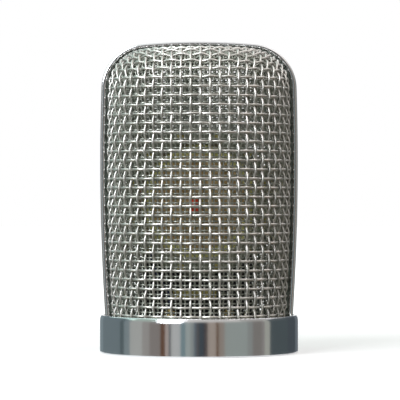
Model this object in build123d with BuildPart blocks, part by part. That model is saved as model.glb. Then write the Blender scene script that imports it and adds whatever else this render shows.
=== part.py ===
from build123d import *

import os
from collections import namedtuple
from math import cos, radians, sin, sqrt

# Detachable head of a large-diaphragm condenser microphone: a lift-off pop-screen grille of two
# woven-wire layers on an arched hoop and a polished base ring, over a dual-diaphragm capsule in a
# moulded saddle, with three sprung contacts underneath. Millimetres, +Z up, front towards -Y,
# origin at the centre of the foot.

# ---- driving dimensions ------------------------------------------------------------------------

# Outline of the hoop in the XZ plane: a long side arc, a shoulder arc and a crown arc.
head_height = 72.0
head_radius = 23.0
hoop_set_in = 0.13
widest_height = 44.0
side_radius = 560.0
shoulder_radius = 10.4
crown_radius = 146.0

# Hoop strip, thinner over the crown, and the woven layers inside it, each two wires thick.
hoop_side_thickness = 1.15
hoop_crown_thickness = 0.8
hoop_width = 4.0
hoop_edge_radius = 0.3
hoop_to_mesh_side = 0.25
hoop_to_mesh_crown = 0.15
outer_wire_diameter = 0.55
inner_wire_diameter = 0.4
layer_gap = 0.1
half_gap = 0.4
mesh_lift = 0.6

# Base ring.
ring_height = 8.8
ring_foot_edge = 0.3
ring_top_edge = 0.35
ring_roll_radius = 3.0
ring_roll_angle = 22.0
ring_wall = 2.0
seat_wall = 1.05
seat_drop = 0.4
clamp_wall = 0.55
clamp_relief = 0.9

# Clearances.
touch_gap = 0.02
slide_clearance = 0.05
lift_clearance = 0.2
ledge_clearance = 0.2
screw_clearance = 0.05

# Capsule carrier that the grille slides over, and the plate on it.
socket_radius = 18.0
socket_depth = 4.0
flange_thickness = 0.8
boss_rise = 1.4
floor_opening = 14.0
notch_width = 2.5
notch_height = 3.0
body_screw_circle = 16.0
body_screw_radius = 1.025
plate_thickness = 2.4
plate_screw_bite = 1.8

# Capsule.
capsule_height = 35.0
capsule_radius = 17.1
backplate_thickness = 3.2
backplate_gap = 0.8
ring_thickness = 1.5
ring_width = 3.9
ring_bevel = 0.7
ring_rim = 0.35
film_margin = 2.2
film_thickness = 0.05
film_standoff = 0.05
rim_screw_count = 12
rim_screw_first_angle = 15.0
rim_screw_inset = 1.3
rim_screw_bite = 2.2
hole_radius = 0.4
hole_ring_start = 4.0
hole_ring_step = 3.6
holes_in_first_ring = 8
bush_radius = 1.8
washer_radius = 1.5
washer_thickness = 0.3
terminal_bite = 2.4

# Saddle and what holds the capsule on it.
saddle_half_width = 13.5
saddle_half_depth = 5.6
saddle_drop = 13.0
saddle_corner = 1.5
saddle_screw_offset = 9.0
saddle_screw_bite = 3.6
pad_thickness = 0.5
pad_start = 12.0
pad_end = 44.0
pad_half_depth = 4.6
cradle_floor = 2.8
capsule_screw_bite = 2.6

# Terminal bar on the saddle's front.
bar_length = 10.0
bar_height = 2.2
bar_thickness = 1.2
bar_offset = -1.0
bar_level = 14.0
bar_screw_offset = 3.6
bar_screw_bite = 2.0

# Sprung contacts.
contact_circle = 11.5
contact_angles = {"left": 235.0, "right": 305.0, "rear": 90.0}
barrel_radius = 1.5
barrel_bore = 1.1
barrel_lip_bore = 0.78
barrel_lip = 0.5
barrel_drop = 0.8
barrel_rise = 1.4
plunger_tip = 0.7
plunger_reach = 1.2
plunger_nose = 0.4
plunger_collar = 1.0
plunger_collar_height = 0.6
plunger_post = 0.35
plunger_post_height = 0.7
contact_cap_height = 1.0
cup_radius = 0.6
cup_height = 1.0
spring_wire_radius = 0.1
spring_turns = 5

# Wiring.
lead_radius = 0.2
polarising_lead_radius = 0.3
sleeve_radius = 0.9
sleeve_length = 3.0
sleeve_offset = 0.9

# Grub screws through the base ring.
grub_radius = 0.97
grub_level = 2.4
grub_recess = 0.25
grub_socket = 0.45
grub_socket_depth = 0.8

# Slotted screws: radius of the shank, radius of the head and height of the head.
ScrewSize = namedtuple("ScrewSize", "shank head head_height")
machine_screw = ScrewSize(0.8, 1.35, 0.9)
rim_screw = ScrewSize(0.48, 0.95, 0.55)
bar_screw = ScrewSize(0.5, 0.75, 0.55)
terminal_screw = ScrewSize(0.5, 1.1, 0.6)
slot_share = 0.3

# ---- sizes that follow from them ---------------------------------------------------------------

ring_bore = head_radius - ring_wall
ring_upper_bore = head_radius - seat_wall
seat_top = ring_height - seat_drop
flange_top = socket_depth + flange_thickness
boss_top = flange_top + boss_rise
plate_top = boss_top + plate_thickness
ledge_height = flange_top + ledge_clearance
mesh_foot = ledge_height + mesh_lift

side_centre = Vector(head_radius - hoop_set_in - side_radius, widest_height)
crown_centre = Vector(0, head_height - crown_radius)


def arc_centre_between(centre_a, reach_a, centre_b, reach_b):
    """The point at reach_a from one centre and reach_b from the other, on the +X side."""
    between = centre_b - centre_a
    span = between.length
    along = (reach_a**2 - reach_b**2 + span**2) / (2 * span)
    across = sqrt(reach_a**2 - along**2)
    unit = between.normalized()
    normal = Vector(-unit.Y, unit.X)
    foot = centre_a + unit * along
    return max((foot + normal * across, foot - normal * across), key=lambda point: point.X)


def draw_arc(centre, radius, start, end):
    """Draws the short arc about a centre, between two points on it."""
    middle = centre + ((start + end) / 2 - centre).normalized() * radius
    ThreePointArc(start, middle, end)


class Outline:
    """The +X half of the head's outline in the XZ plane, moved inwards at its side and its crown.

    A side arc, a shoulder arc and a crown arc, each tangent to the next.
    """

    def __init__(self, side_inset, crown_inset):
        self.side_inset = side_inset
        self.crown_inset = crown_inset
        self.side = side_radius - side_inset
        self.crown = crown_radius - crown_inset
        self.shoulder = shoulder_radius - (side_inset + crown_inset) / 2
        self.shoulder_centre = arc_centre_between(
            side_centre, self.side - self.shoulder, crown_centre, self.crown - self.shoulder
        )

    def inside(self, depth):
        """The outline a further depth inwards."""
        return Outline(self.side_inset + depth, self.crown_inset + depth)

    def half_width(self, height):
        """Half the width at a height on the side arc."""
        return side_centre.X + sqrt(self.side**2 - (height - widest_height) ** 2)

    def trace(self, foot):
        """Draws the outline down to a height and closes it along the axis."""
        foot_point = Vector(self.half_width(foot), foot)
        shoulder_start = side_centre + (self.shoulder_centre - side_centre).normalized() * self.side
        shoulder_end = crown_centre + (self.shoulder_centre - crown_centre).normalized() * self.crown
        top = crown_centre + Vector(0, self.crown)
        Line((0, foot), foot_point)
        draw_arc(side_centre, self.side, foot_point, shoulder_start)
        draw_arc(self.shoulder_centre, self.shoulder, shoulder_start, shoulder_end)
        draw_arc(crown_centre, self.crown, shoulder_end, top)
        Line(top, (0, foot))


hoop_outside = Outline(0, 0)
hoop_inside = Outline(hoop_side_thickness, hoop_crown_thickness)
outer_mesh_outside = Outline(
    hoop_side_thickness + hoop_to_mesh_side, hoop_crown_thickness + hoop_to_mesh_crown
)
outer_mesh_inside = outer_mesh_outside.inside(2 * outer_wire_diameter)
inner_mesh_outside = outer_mesh_inside.inside(layer_gap)
inner_mesh_inside = inner_mesh_outside.inside(2 * inner_wire_diameter)
clamp_outside = inner_mesh_inside.inside(slide_clearance)
seat_inside = outer_mesh_outside.inside(-slide_clearance)


def on_circle(radius, angle):
    """The point at a radius and an angle in degrees."""
    return Vector(radius * cos(radians(angle)), radius * sin(radians(angle)))


clamp_bore = clamp_outside.half_width(mesh_foot) - clamp_wall
carrier_radius = ring_bore - slide_clearance
boss_radius = clamp_bore - lift_clearance
plate_screw_circle = (floor_opening + boss_radius) / 2
plate_screw_places = [on_circle(plate_screw_circle, angle) for angle in (0, 120, 240)]
body_screw_places = [on_circle(body_screw_circle, angle) for angle in (60, 180, 300)]
plate_screw_seat = plate_top - machine_screw.head_height

capsule_front = backplate_gap / 2 + backplate_thickness
capsule_floor = capsule_height - capsule_radius
ring_opening = capsule_radius - ring_width
ring_face = capsule_front + ring_thickness
film_radius = capsule_radius - film_margin
rim_screw_circle = capsule_radius - rim_screw_inset
rim_screw_places = [
    on_circle(rim_screw_circle, rim_screw_first_angle + 360 * index / rim_screw_count)
    for index in range(rim_screw_count)
]
rim_screw_length = ring_thickness + rim_screw_bite
terminal_length = washer_thickness + terminal_bite
washer_back = capsule_front + film_standoff + film_thickness
washer_face = washer_back + washer_thickness
sleeve_depth = washer_face + terminal_screw.head_height + touch_gap + sleeve_radius

cradle_radius = capsule_radius + pad_thickness
saddle_top = capsule_height - saddle_drop
saddle_screw_places = [(saddle_screw_offset, 0), (-saddle_screw_offset, 0)]
capsule_screw_seat = capsule_height - cradle_radius - cradle_floor
backplate_middle = (backplate_gap + backplate_thickness) / 2
capsule_screw_places = [(0, backplate_middle), (0, -backplate_middle)]
bar_places = [(bar_offset + bar_screw_offset, bar_level), (bar_offset - bar_screw_offset, bar_level)]
bar_face = saddle_half_depth + bar_thickness

contact_places = {side: on_circle(contact_circle, angle) for side, angle in contact_angles.items()}
barrel_bottom = boss_top - barrel_drop
barrel_top = plate_top + barrel_rise
cup_top = barrel_top + cup_height
plug_bottom = barrel_top - contact_cap_height
collar_bottom = barrel_bottom + barrel_lip + touch_gap
collar_top = collar_bottom + plunger_collar_height

os.makedirs("parts", exist_ok=True)


def write(piece, name):
    """Labels a finished piece and writes it to its own file."""
    piece.part.label = name
    export_step(piece.part, f"parts/{name}.step")


# ---- grille ------------------------------------------------------------------------------------

# The base ring: plain bore below for the carrier, wider above for the seat arcs and the hoop. Buffing
# has rolled its upper edge: a wide arc leads off the wall, and a small one ends on the top.
ring_roll_rise = (ring_roll_radius - ring_top_edge) * sin(radians(ring_roll_angle)) + ring_top_edge
with BuildPart() as base_ring:
    with BuildSketch(Plane.XZ):
        with BuildLine():
            foot = Line((ring_bore, 0), (head_radius - ring_foot_edge, 0))
            foot_edge = JernArc(foot @ 1, foot % 1, ring_foot_edge, 90)
            wall = Line(foot_edge @ 1, (head_radius, ring_height - ring_roll_rise))
            roll = JernArc(wall @ 1, wall % 1, ring_roll_radius, ring_roll_angle)
            top_edge = JernArc(roll @ 1, roll % 1, ring_top_edge, 90 - ring_roll_angle)
            top = Line(top_edge @ 1, (ring_bore, ring_height))
            Line(top @ 1, foot @ 0)
        make_face()
    revolve(axis=Axis.Z)
    with BuildSketch(Plane.XY.offset(ledge_height)):
        Circle(ring_upper_bore)
    extrude(amount=ring_height - ledge_height, mode=Mode.SUBTRACT)
    with BuildSketch(Plane.YZ):
        with Locations((0, grub_level)):
            Circle(grub_radius + touch_gap)
    extrude(amount=head_radius, both=True, mode=Mode.SUBTRACT)
write(base_ring, "base_ring")

# The hoop: a strip with rounded edges, bent over the head in its own plane.
with BuildPart() as hoop:
    with BuildSketch(Plane.XZ):
        with BuildLine():
            hoop_outside.trace(ledge_height)
        make_face()
        with BuildLine():
            hoop_inside.trace(ledge_height)
        make_face(mode=Mode.SUBTRACT)
        mirror(about=Plane.YZ)
    extrude(amount=hoop_width / 2, both=True)
    side_edges = hoop.faces().filter_by(Axis.Y).edges()
    foot_edges = hoop.faces().filter_by(Plane.XY).edges()
    fillet(side_edges - foot_edges, hoop_edge_radius)
write(hoop, "hoop")

# The spine: a thin rib along the inside of the hoop, which the mesh halves are soldered to.
with BuildPart() as spine:
    with BuildSketch(Plane.XZ):
        with BuildLine():
            hoop_inside.trace(mesh_foot)
        make_face()
        with BuildLine():
            inner_mesh_inside.trace(mesh_foot)
        make_face(mode=Mode.SUBTRACT)
        mirror(about=Plane.YZ)
    extrude(amount=half_gap / 2 - touch_gap, both=True)
write(spine, "spine")


def mesh_half(outside, inside, plane, side):
    """Half of a woven layer: the shell between two outlines, turned and cut off at a plane."""
    with BuildPart() as half:
        with BuildSketch(Plane.XZ):
            with BuildLine():
                outside.trace(mesh_foot)
            make_face()
            with BuildLine():
                inside.trace(mesh_foot)
            make_face(mode=Mode.SUBTRACT)
        revolve(axis=Axis.Z)
        split(bisect_by=plane, keep=side)
    return half


def seat_arc(edge, side):
    """The filler between the base ring and the outer mesh, from one foot of the hoop to the other."""
    with BuildPart() as arc:
        with BuildSketch(Plane.XY.offset(ledge_height)):
            Circle(ring_upper_bore - touch_gap)
        extrude(amount=seat_top - ledge_height)
        with BuildSketch(Plane.XZ):
            with BuildLine():
                seat_inside.trace(ledge_height)
            make_face()
        revolve(axis=Axis.Z, mode=Mode.SUBTRACT)
        split(bisect_by=edge, keep=side)
    return arc


def clamp_arc(edge, side):
    """The strip that grips both layers from inside, short enough for the capsule to pass."""
    with BuildPart() as arc:
        with BuildSketch(Plane.XZ):
            with BuildLine():
                clamp_outside.trace(mesh_foot)
            make_face()
            Rectangle(2 * clamp_bore, 2 * head_height, mode=Mode.SUBTRACT)
            with Locations((0, seat_top)):
                Rectangle(2 * head_radius, head_height, align=(Align.CENTER, Align.MIN), mode=Mode.SUBTRACT)
        revolve(axis=Axis.Z)
        split(bisect_by=edge, keep=side)
    return arc


for end, sign, side in (("front", 1, Keep.TOP), ("rear", -1, Keep.BOTTOM)):
    mesh_edge = Plane.XZ.offset(sign * half_gap / 2)
    seat_edge = Plane.XZ.offset(sign * (hoop_width / 2 + slide_clearance))
    clamp_edge = Plane.XZ.offset(sign * (ring_face + clamp_relief))
    write(mesh_half(outer_mesh_outside, outer_mesh_inside, mesh_edge, side), f"outer_mesh_{end}")
    write(mesh_half(inner_mesh_outside, inner_mesh_inside, mesh_edge, side), f"inner_mesh_{end}")
    write(seat_arc(seat_edge, side), f"seat_arc_{end}")
    write(clamp_arc(clamp_edge, side), f"clamp_arc_{end}")

# Two grub screws, one under each foot of the hoop, press on the carrier.
grub_length = head_radius - grub_recess - carrier_radius - touch_gap
with BuildPart() as grub_screws:
    for direction in (1, -1):
        tip_centre = (direction * (carrier_radius + touch_gap), 0, grub_level)
        tip = Plane(origin=tip_centre, z_dir=(direction, 0, 0))
        with BuildSketch(tip):
            Circle(grub_radius)
        extrude(amount=grub_length)
        with BuildSketch(tip.offset(grub_length)):
            RegularPolygon(grub_socket, 6)
        extrude(amount=-grub_socket_depth, mode=Mode.SUBTRACT)
write(grub_screws, "grub_screws")

# ---- carrier -----------------------------------------------------------------------------------

# The carrier ring: a skirt round the body socket, a floor with tapped holes for the body's three
# screws, and a boss that the plate sits on. The notch in the skirt keys it to the body.
with BuildPart() as carrier_ring:
    with BuildSketch():
        Circle(carrier_radius)
    extrude(amount=flange_top)
    with BuildSketch(Plane.XY.offset(flange_top)):
        Circle(boss_radius)
    extrude(amount=boss_rise)
    with BuildSketch():
        Circle(socket_radius)
    extrude(amount=socket_depth, mode=Mode.SUBTRACT)
    with BuildSketch():
        Circle(floor_opening)
    extrude(amount=boss_top, mode=Mode.SUBTRACT)
    with BuildSketch(Plane.XY.offset(socket_depth)):
        with Locations(*plate_screw_places):
            Circle(machine_screw.shank + touch_gap)
        with Locations(*body_screw_places):
            Circle(body_screw_radius)
    extrude(amount=boss_top - socket_depth, mode=Mode.SUBTRACT)
    with BuildSketch():
        with Locations((0, socket_radius)):
            Rectangle(notch_width, 2 * (carrier_radius - socket_radius + slide_clearance))
    extrude(amount=notch_height, mode=Mode.SUBTRACT)
write(carrier_ring, "carrier_ring")

# The insulating plate, with seats for its screws, the contacts and the screws of the saddle.
with BuildPart() as insulator_plate:
    with BuildSketch(Plane.XY.offset(boss_top)):
        Circle(boss_radius)
        with Locations(*contact_places.values()):
            Circle(barrel_radius + touch_gap, mode=Mode.SUBTRACT)
        with Locations(*plate_screw_places, *saddle_screw_places):
            Circle(machine_screw.shank + screw_clearance, mode=Mode.SUBTRACT)
        with Locations(*capsule_screw_places):
            Circle(machine_screw.head + screw_clearance, mode=Mode.SUBTRACT)
    extrude(amount=plate_thickness)
    with BuildSketch(Plane.XY.offset(plate_top)):
        with Locations(*plate_screw_places):
            Circle(machine_screw.head + screw_clearance)
    extrude(amount=-machine_screw.head_height, mode=Mode.SUBTRACT)
write(insulator_plate, "insulator_plate")


def slotted_screws(seat, places, size, length):
    """Screws whose slotted heads stand on the seat plane and whose shanks run behind it."""
    with BuildPart() as screws:
        with BuildSketch(seat):
            with Locations(*places):
                Circle(size.head)
        extrude(amount=size.head_height)
        with BuildSketch(seat):
            with Locations(*places):
                Circle(size.shank)
        extrude(amount=-length)
        with BuildSketch(seat.offset(size.head_height)):
            with Locations(*places):
                Rectangle(2 * size.head, slot_share * size.head)
        extrude(amount=-size.head_height / 2, mode=Mode.SUBTRACT)
    return screws


# Three screws hold the plate on the carrier.
plate_screw_length = plate_screw_seat - boss_top + plate_screw_bite
plate_seat = Plane.XY.offset(plate_screw_seat)
plate_screws = slotted_screws(plate_seat, plate_screw_places, machine_screw, plate_screw_length)
write(plate_screws, "plate_screws")

# Two screws from under the plate hold the saddle, and two more hold the capsule in it.
under_plate = Plane(origin=(0, 0, boss_top), x_dir=(1, 0, 0), z_dir=(0, 0, -1))
under_cradle = Plane(origin=(0, 0, capsule_screw_seat), x_dir=(1, 0, 0), z_dir=(0, 0, -1))
saddle_screw_length = plate_thickness + saddle_screw_bite
saddle_screws = slotted_screws(under_plate, saddle_screw_places, machine_screw, saddle_screw_length)
capsule_screw_length = capsule_floor + capsule_screw_bite - capsule_screw_seat
capsule_screws = slotted_screws(under_cradle, capsule_screw_places, machine_screw, capsule_screw_length)
write(saddle_screws, "saddle_screws")
write(capsule_screws, "capsule_screws")

# The capsule's two sides, seen from in front and from behind.
front = Plane(origin=(0, 0, capsule_height), x_dir=(1, 0, 0), z_dir=(0, -1, 0))
rear = Plane(origin=(0, 0, capsule_height), x_dir=(-1, 0, 0), z_dir=(0, 1, 0))

# The saddle: a moulded block hollowed to cradle the capsule.
with BuildPart() as saddle:
    with BuildSketch(Plane.XY.offset(plate_top)):
        RectangleRounded(2 * saddle_half_width, 2 * saddle_half_depth, saddle_corner)
    extrude(amount=saddle_top - plate_top)
    with BuildSketch(front):
        Circle(cradle_radius)
    extrude(amount=saddle_half_depth, both=True, mode=Mode.SUBTRACT)
    with BuildSketch(Plane.XY.offset(plate_top)):
        with Locations(*capsule_screw_places):
            Circle(machine_screw.head + screw_clearance)
    extrude(amount=capsule_screw_seat - plate_top, mode=Mode.SUBTRACT)
    with BuildSketch(Plane.XY.offset(capsule_screw_seat)):
        with Locations(*capsule_screw_places):
            Circle(machine_screw.shank + screw_clearance)
    extrude(amount=cradle_floor + pad_thickness, mode=Mode.SUBTRACT)
    with BuildSketch(Plane.XY.offset(plate_top)):
        with Locations(*saddle_screw_places):
            Circle(machine_screw.shank + touch_gap)
    extrude(amount=saddle_screw_bite + touch_gap, mode=Mode.SUBTRACT)
    with BuildSketch(Plane.XZ.offset(saddle_half_depth)):
        with Locations(*bar_places):
            Circle(bar_screw.shank + touch_gap)
    extrude(amount=-bar_screw_bite - touch_gap, mode=Mode.SUBTRACT)
write(saddle, "saddle")

# Two rubber pads line the cradle, one each side of the capsule screws.
with BuildPart() as cradle_pads:
    with BuildSketch(front):
        with BuildLine():
            inner = CenterArc((0, 0), capsule_radius + touch_gap, 270 + pad_start, pad_end - pad_start)
            outer = CenterArc((0, 0), cradle_radius - touch_gap, 270 + pad_start, pad_end - pad_start)
            Line(inner @ 0, outer @ 0)
            Line(inner @ 1, outer @ 1)
        make_face()
        mirror(about=Plane.YZ)
    extrude(amount=pad_half_depth, both=True)
write(cradle_pads, "cradle_pads")

# ---- capsule -----------------------------------------------------------------------------------


def backplate(plane):
    """A brass plate with the acoustic holes, the rim's tapped holes and the bush's bore."""
    ring_radii = [
        hole_ring_start + index * hole_ring_step
        for index in range(1 + int((ring_opening - hole_ring_start) / hole_ring_step))
    ]
    foot = plane.offset(backplate_middle).origin
    with BuildPart() as plate:
        with BuildSketch(plane.offset(backplate_gap / 2)):
            Circle(capsule_radius)
            Circle(bush_radius + touch_gap, mode=Mode.SUBTRACT)
            for index, radius in enumerate(ring_radii):
                with PolarLocations(radius, holes_in_first_ring * (index + 1)):
                    Circle(hole_radius, mode=Mode.SUBTRACT)
        extrude(amount=backplate_thickness)
        with BuildSketch(plane.offset(capsule_front)):
            with Locations(*rim_screw_places):
                Circle(rim_screw.shank + touch_gap)
        extrude(amount=-rim_screw_bite - touch_gap, mode=Mode.SUBTRACT)
        with BuildSketch(Plane.XY.offset(capsule_floor)):
            with Locations((foot.X, foot.Y)):
                Circle(machine_screw.shank + touch_gap)
        extrude(amount=capsule_screw_bite + touch_gap, both=True, mode=Mode.SUBTRACT)
    return plate


def tension_ring(plane):
    """The ring that stretches the film: recessed behind for the film and bevelled in front."""
    with BuildPart() as ring:
        with BuildSketch(plane.offset(capsule_front)):
            Circle(capsule_radius)
            Circle(ring_opening, mode=Mode.SUBTRACT)
        extrude(amount=ring_thickness)
        mouth = max(ring.faces().filter_by(Axis.Y), key=lambda face: abs(face.center().Y))
        inner_edge, outer_edge = mouth.edges().sort_by(SortBy.RADIUS)
        chamfer(inner_edge, ring_bevel)
        chamfer(outer_edge, ring_rim)
        with BuildSketch(plane.offset(capsule_front)):
            with Locations(*rim_screw_places):
                Circle(rim_screw.shank + touch_gap)
        extrude(amount=ring_thickness, mode=Mode.SUBTRACT)
        with BuildSketch(plane.offset(capsule_front)):
            Circle(film_radius + touch_gap)
        extrude(amount=film_standoff + film_thickness, mode=Mode.SUBTRACT)
    return ring


def diaphragm(plane):
    """The film, with a hole for the centre terminal."""
    with BuildPart() as film:
        with BuildSketch(plane.offset(capsule_front + film_standoff)):
            Circle(film_radius)
            Circle(terminal_screw.shank + touch_gap, mode=Mode.SUBTRACT)
        extrude(amount=film_thickness)
    return film


def terminal_washer(plane):
    """The washer that spreads the centre terminal's hold on the film."""
    with BuildPart() as washer:
        with BuildSketch(plane.offset(washer_back)):
            Circle(washer_radius)
            Circle(terminal_screw.shank + touch_gap, mode=Mode.SUBTRACT)
        extrude(amount=washer_thickness)
    return washer


def centre_bush(plane):
    """The insulating bush that the terminal screws into."""
    with BuildPart() as bush:
        with BuildSketch(plane.offset(backplate_gap / 2)):
            Circle(bush_radius)
            Circle(terminal_screw.shank + touch_gap, mode=Mode.SUBTRACT)
        extrude(amount=backplate_thickness)
    return bush


def lead_sleeve(plane):
    """The sleeve over the joint between the lead and the terminal's head."""
    middle = plane.offset(sleeve_depth).origin
    with BuildPart() as sleeve:
        with BuildSketch(Plane.XY.offset(capsule_height - sleeve_offset - sleeve_length / 2)):
            with Locations((middle.Y / sleeve_depth * sleeve_offset, middle.Y)):
                Circle(sleeve_radius)
                Circle(lead_radius + touch_gap, mode=Mode.SUBTRACT)
        extrude(amount=sleeve_length)
    return sleeve


for end, plane in (("front", front), ("rear", rear)):
    write(backplate(plane), f"backplate_{end}")
    write(diaphragm(plane), f"diaphragm_{end}")
    write(tension_ring(plane), f"tension_ring_{end}")
    rim_seat = plane.offset(ring_face)
    write(slotted_screws(rim_seat, rim_screw_places, rim_screw, rim_screw_length), f"rim_screws_{end}")
    write(terminal_washer(plane), f"terminal_washer_{end}")
    washer_seat = plane.offset(washer_face)
    write(slotted_screws(washer_seat, [(0, 0)], terminal_screw, terminal_length), f"centre_terminal_{end}")
    write(centre_bush(plane), f"centre_bush_{end}")
    write(lead_sleeve(plane), f"lead_sleeve_{end}")

# The insulating ring between the two backplates.
with BuildPart() as backplate_spacer:
    with BuildSketch(front):
        Circle(capsule_radius)
        Circle(ring_opening, mode=Mode.SUBTRACT)
    extrude(amount=backplate_gap / 2, both=True)
write(backplate_spacer, "backplate_spacer")

# ---- terminal bar and wiring -------------------------------------------------------------------

with BuildPart() as terminal_bar:
    with BuildSketch(Plane.XZ.offset(saddle_half_depth)):
        with Locations((bar_offset, bar_level)):
            RectangleRounded(bar_length, bar_height, bar_height / 4)
        with Locations(*bar_places):
            Circle(bar_screw.shank + touch_gap, mode=Mode.SUBTRACT)
    extrude(amount=bar_thickness)
write(terminal_bar, "terminal_bar")

bar_screw_length = bar_thickness + bar_screw_bite
bar_screws = slotted_screws(Plane.XZ.offset(bar_face), bar_places, bar_screw, bar_screw_length)
write(bar_screws, "bar_screws")


def bend_radii(points):
    """For each corner, 0.45 of the shorter run over the tangent of half the turn."""
    radii = []
    for before, corner, after in zip(points, points[1:], points[2:]):
        arriving = Vector(*corner) - Vector(*before)
        leaving = Vector(*after) - Vector(*corner)
        half_turn = radians(arriving.get_angle(leaving)) / 2
        radii.append(0.45 * min(arriving.length, leaving.length) * cos(half_turn) / sin(half_turn))
    return radii


def wire(points, radius):
    """A round wire along straight runs joined by tangent arcs."""
    with BuildPart() as lead:
        with BuildLine() as route:
            FilletPolyline(*points, radius=bend_radii(points))
        with BuildSketch(Plane(origin=route.line @ 0, z_dir=route.line % 0)):
            Circle(radius)
        sweep()
    return lead


left = contact_places["left"]
right = contact_places["right"]
back = contact_places["rear"]
sleeve_top = capsule_height - sleeve_offset + sleeve_length / 2
bar_middle = saddle_half_depth + bar_thickness / 2
tag_screw = min(rim_screw_places, key=lambda place: place.X + place.Y)
tag_depth = ring_face + rim_screw.head_height + polarising_lead_radius + touch_gap
tag_level = capsule_height + tag_screw.Y - rim_screw.head / 2

leads = {
    "front_lead": (
        lead_radius,
        [
            (-sleeve_offset, -sleeve_depth, sleeve_top - touch_gap),
            (-sleeve_offset, -sleeve_depth - 0.05, 29.5),
            (-sleeve_offset - 0.1, -sleeve_depth - 0.75, 22.0),
            (-sleeve_offset, -bar_middle, bar_level + bar_height / 2 + touch_gap),
        ],
    ),
    "link_lead": (
        lead_radius,
        [
            (bar_offset + bar_length / 2 + touch_gap, -bar_middle, bar_level),
            (right.X - 0.4, right.Y + 1.9, bar_level + 0.1),
            (right.X, right.Y, cup_top + 2.1),
            (right.X, right.Y, cup_top + touch_gap),
        ],
    ),
    "polarising_lead": (
        polarising_lead_radius,
        [
            (left.X, left.Y, cup_top + touch_gap),
            (left.X - 0.3, left.Y + 0.2, cup_top + 3.0),
            (left.X - 3.2, left.Y + 1.3, 18.6),
            (tag_screw.X, -tag_depth, tag_level),
        ],
    ),
    "rear_lead": (
        lead_radius,
        [
            (sleeve_offset, sleeve_depth, sleeve_top - touch_gap),
            (sleeve_offset, sleeve_depth + 0.05, 28.5),
            (sleeve_offset - 0.2, sleeve_depth + 1.4, 20.5),
            (back.X + 0.1, back.Y - 0.6, cup_top + 3.8),
            (back.X, back.Y, cup_top + touch_gap),
        ],
    ),
}
for name, (radius, points) in leads.items():
    lead = wire(points, radius)
    write(lead, name)
    print(name, "bend radii", [round(bend, 2) for bend in bend_radii(points)])

# ---- sprung contacts ---------------------------------------------------------------------------

# Barrels pressed into the plate, each with a lip below that keeps its plunger in.
with BuildPart() as contact_barrels:
    with BuildSketch(Plane.XY.offset(barrel_bottom)):
        with Locations(*contact_places.values()):
            Circle(barrel_radius)
            Circle(barrel_lip_bore, mode=Mode.SUBTRACT)
    extrude(amount=barrel_top - barrel_bottom)
    with BuildSketch(Plane.XY.offset(barrel_bottom + barrel_lip)):
        with Locations(*contact_places.values()):
            Circle(barrel_bore)
    extrude(amount=barrel_top - barrel_bottom - barrel_lip, mode=Mode.SUBTRACT)
write(contact_barrels, "contact_barrels")

# Caps that close the barrels, each with a post that its lead is soldered to.
with BuildPart() as contact_caps:
    with BuildSketch(Plane.XY.offset(plug_bottom)):
        with Locations(*contact_places.values()):
            Circle(barrel_bore - touch_gap)
    extrude(amount=contact_cap_height)
    with BuildSketch(Plane.XY.offset(barrel_top)):
        with Locations(*contact_places.values()):
            Circle(cup_radius)
    extrude(amount=cup_height)
write(contact_caps, "contact_caps")


def contact_pin(place):
    """A sprung pin: a rounded tip, a collar that the barrel's lip catches, and a spring post."""
    with BuildPart() as pin:
        with BuildSketch(Plane.XY.offset(barrel_bottom - plunger_reach)):
            with Locations(place):
                Circle(plunger_tip)
        extrude(amount=plunger_reach + barrel_lip + touch_gap)
        fillet(pin.edges().filter_by(GeomType.CIRCLE).sort_by(Axis.Z)[0], plunger_nose)
        with BuildSketch(Plane.XY.offset(collar_bottom)):
            with Locations(place):
                Circle(plunger_collar)
        extrude(amount=plunger_collar_height)
        with BuildSketch(Plane.XY.offset(collar_top)):
            with Locations(place):
                Circle(plunger_post)
        extrude(amount=plunger_post_height)
    return pin


def contact_spring(place):
    """The coil spring between a pin's collar and its barrel's cap."""
    coil_radius = (plunger_post + barrel_bore) / 2
    bottom = collar_top + spring_wire_radius + touch_gap
    height = plug_bottom - spring_wire_radius - touch_gap - bottom
    with BuildPart() as spring:
        with BuildLine() as coil:
            Helix(height / spring_turns, height, coil_radius, center=(place.X, place.Y, bottom))
        with BuildSketch(Plane(origin=coil.line @ 0, z_dir=coil.line % 0)):
            Circle(spring_wire_radius)
        sweep(is_frenet=True)
    return spring


for end, place in contact_places.items():
    write(contact_pin(place), f"contact_pin_{end}")
    write(contact_spring(place), f"contact_spring_{end}")
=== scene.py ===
import logging
from dataclasses import dataclass, field, replace
from enum import Enum
from math import asin, atan2, cos, hypot, pi, radians, sin, sqrt, tan
from typing import Iterable

import bpy
import numpy as np
from numpy.typing import NDArray
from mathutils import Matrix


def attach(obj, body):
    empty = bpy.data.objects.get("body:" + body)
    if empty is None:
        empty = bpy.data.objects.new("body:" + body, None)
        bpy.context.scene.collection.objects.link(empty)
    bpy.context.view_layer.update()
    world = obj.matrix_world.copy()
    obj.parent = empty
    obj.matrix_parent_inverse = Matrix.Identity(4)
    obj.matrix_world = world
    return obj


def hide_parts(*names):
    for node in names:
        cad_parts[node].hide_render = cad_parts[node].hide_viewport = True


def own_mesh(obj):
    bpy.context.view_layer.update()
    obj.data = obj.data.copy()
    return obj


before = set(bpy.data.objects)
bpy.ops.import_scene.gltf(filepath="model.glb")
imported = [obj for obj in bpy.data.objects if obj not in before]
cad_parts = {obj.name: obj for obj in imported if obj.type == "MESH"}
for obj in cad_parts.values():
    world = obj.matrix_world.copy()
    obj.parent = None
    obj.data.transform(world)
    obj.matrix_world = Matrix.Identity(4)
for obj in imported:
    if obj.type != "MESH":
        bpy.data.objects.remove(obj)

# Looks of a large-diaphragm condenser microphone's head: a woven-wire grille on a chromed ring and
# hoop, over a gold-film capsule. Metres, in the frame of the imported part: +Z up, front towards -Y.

log = logging.getLogger("head")

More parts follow.
